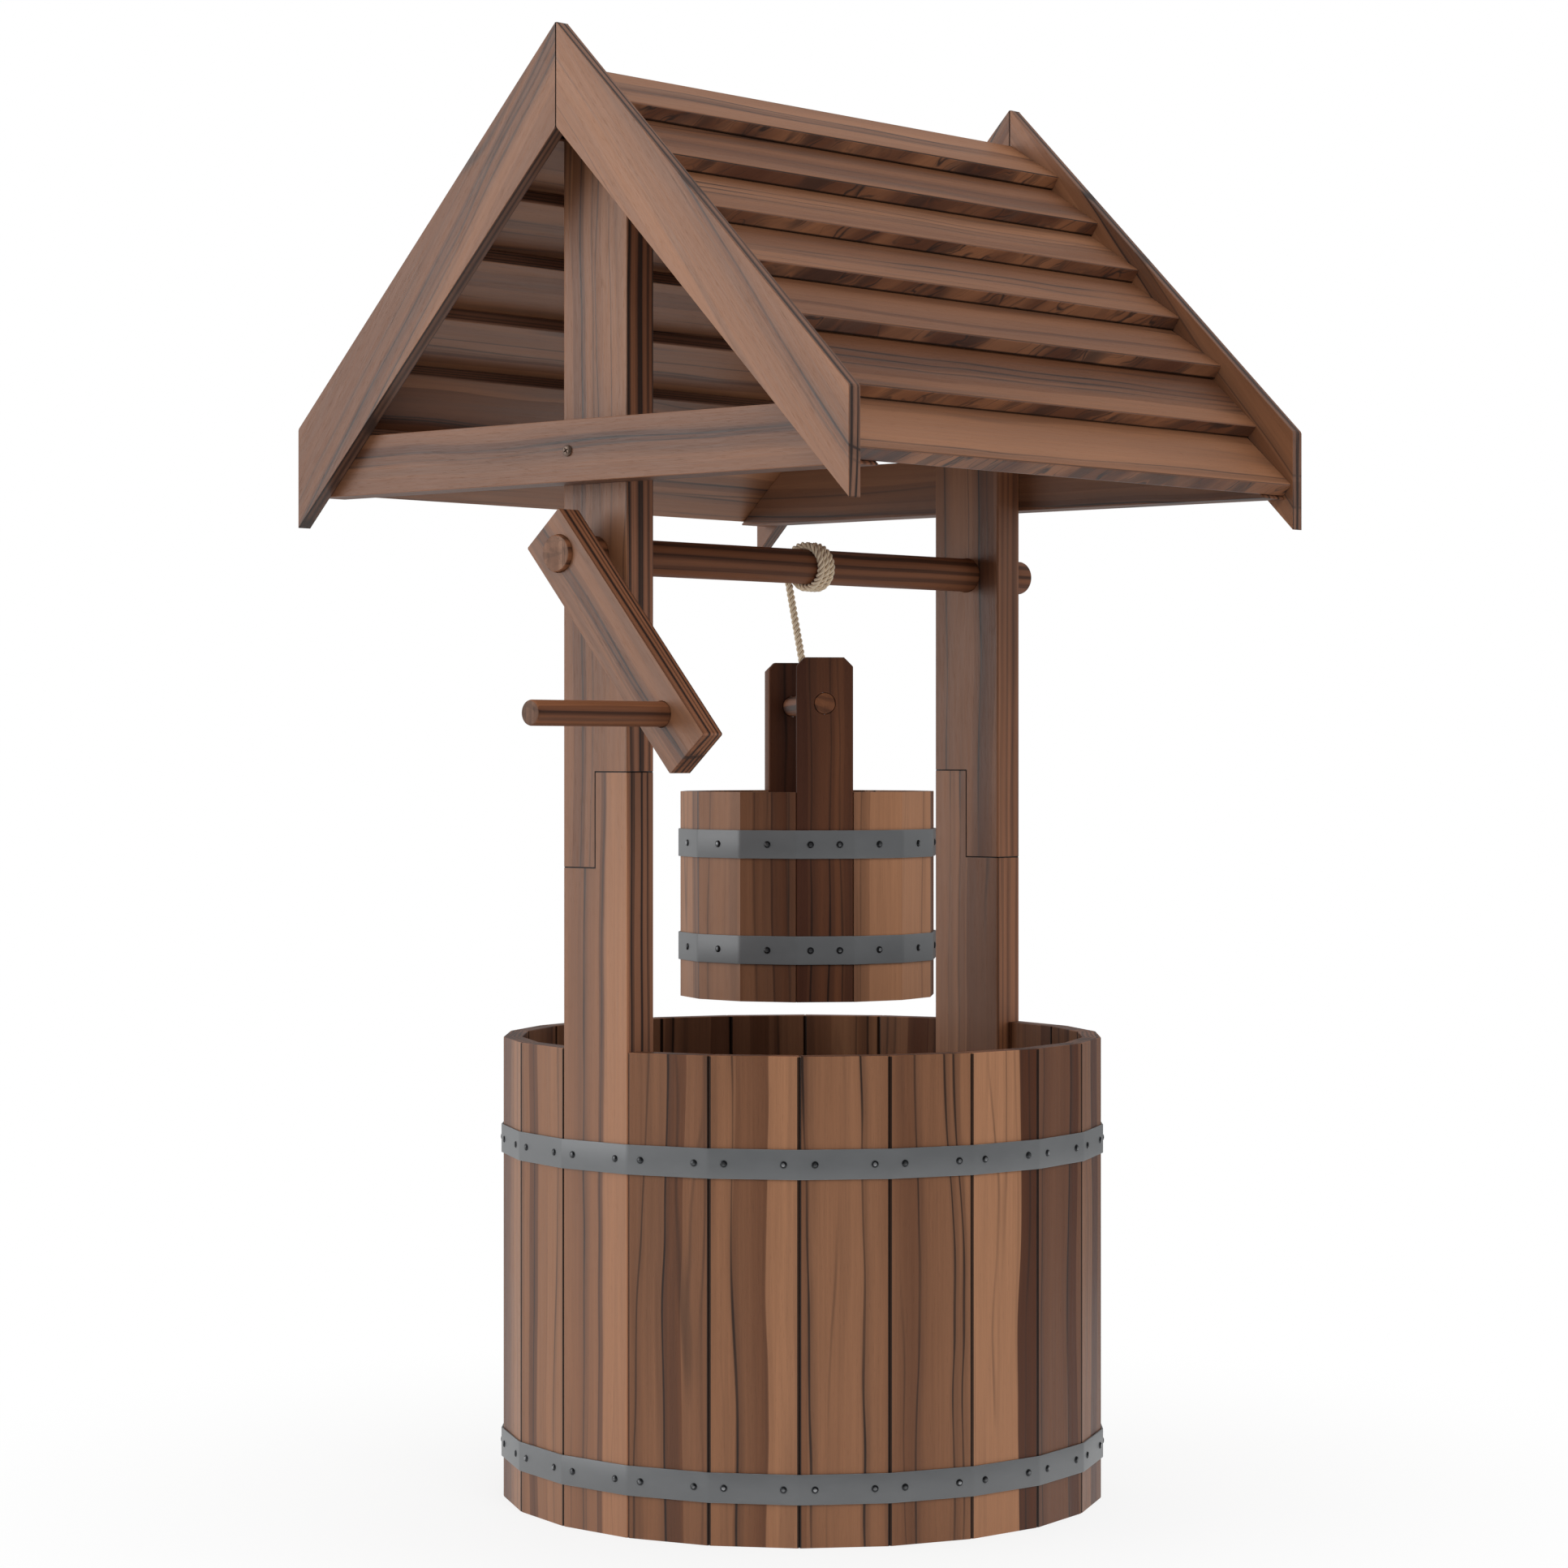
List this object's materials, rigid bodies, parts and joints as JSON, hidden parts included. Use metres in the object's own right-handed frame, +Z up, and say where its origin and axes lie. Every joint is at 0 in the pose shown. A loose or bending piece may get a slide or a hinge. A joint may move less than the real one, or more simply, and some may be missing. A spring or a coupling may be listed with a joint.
{
  "type": "wishing well planter",
  "caption": "Round staved wooden tub planter with a slatted gable roof on two posts and a hand-cranked windlass that carries a small staved bucket on a rope.",
  "frame": {"origin": "centre of the tub on the ground, on the underside of the middle batten of the tub's floor", "axes": "+Z up; X along the windlass shaft, with the crank at -X; -Y the front, to which the crank hangs"},
  "size_m": [0.7208, 0.6064, 1.1884],
  "materials": {
    "tub_wood": "warm brown stained softwood with thin dark streaks, satin",
    "post_wood": "brown stained softwood with dark streaks, satin",
    "roof_wood": "grey-brown stained softwood with dark streaks, satin",
    "turned_wood": "dark brown stained wood, satin",
    "floor_wood": "brown stained softwood, satin",
    "hoop_steel": "dark grey painted steel strap, satin",
    "rope": "laid beige hemp rope, matt"
  },
  "bodies": {
    "well": {"tub_stave_01": "tub_wood", "tub_stave_02": "tub_wood", "tub_stave_03": "tub_wood", "tub_stave_04": "tub_wood", "tub_stave_05": "tub_wood", "tub_stave_06": "tub_wood", "tub_stave_07": "tub_wood", "tub_stave_08": "tub_wood", "tub_stave_09": "tub_wood", "tub_stave_10": "tub_wood", "tub_stave_11": "tub_wood", "tub_stave_12": "tub_wood", "tub_stave_13": "tub_wood", "tub_stave_14": "tub_wood", "tub_stave_15": "tub_wood", "tub_stave_16": "tub_wood", "tub_stave_17": "tub_wood", "tub_stave_18": "tub_wood", "tub_stave_19": "tub_wood", "tub_stave_20": "tub_wood", "tub_hoop_lower": "hoop_steel", "tub_hoop_upper": "hoop_steel", "tub_floor": "floor_wood", "post_lower_crank": "post_wood", "post_lower_far": "post_wood", "post_upper_crank": "post_wood", "post_upper_far": "post_wood", "slat_back_1": "roof_wood", "slat_back_2": "roof_wood", "slat_back_3": "roof_wood", "slat_back_4": "roof_wood", "slat_back_5": "roof_wood", "slat_back_6": "roof_wood", "slat_back_7": "roof_wood", "slat_front_1": "roof_wood", "slat_front_2": "roof_wood", "slat_front_3": "roof_wood", "slat_front_4": "roof_wood", "slat_front_5": "roof_wood", "slat_front_6": "roof_wood", "slat_front_7": "roof_wood", "bargeboard_crank_back": "roof_wood", "bargeboard_crank_front": "roof_wood", "bargeboard_far_back": "roof_wood", "bargeboard_far_front": "roof_wood", "tie_beam_crank": "roof_wood", "tie_beam_far": "roof_wood"},
    "windlass": {"windlass_shaft": "turned_wood", "crank_arm": "roof_wood", "crank_handle": "turned_wood", "rope_winding": "rope"},
    "rope_drop": {"bucket_rope": "rope", "bucket_dowel": "turned_wood"},
    "bucket": {"bucket_lug_back": "turned_wood", "bucket_lug_front": "turned_wood", "bucket_staves_left": "turned_wood", "bucket_staves_right": "turned_wood", "bucket_floor": "floor_wood", "bucket_hoop_lower": "hoop_steel", "bucket_hoop_upper": "hoop_steel"}
  },
  "joints": [
    {"name": "windlass_turn", "type": "hinge", "parent": "well", "child": "windlass", "pos_m": [0, 0, 0.7725], "axis": [1, 0, 0], "range_deg": [-56, 138]},
    {"name": "bucket_lift", "type": "slide", "parent": "well", "child": "rope_drop", "axis": [0, 0, 1], "range_m": [-0.0175, 0.043], "deforming": ["bucket_rope"]},
    {"name": "bucket_tilt", "type": "hinge", "parent": "rope_drop", "child": "bucket", "pos_m": [0.0029, -0.0033, 0.6565], "axis": [0.6547, 0.7559, 0], "range_deg": [-45, 45]}
  ],
  "couplings": [
    {"joint": "bucket_lift", "follows": "windlass_turn", "m_per_rad": 0.0177}
  ]
}
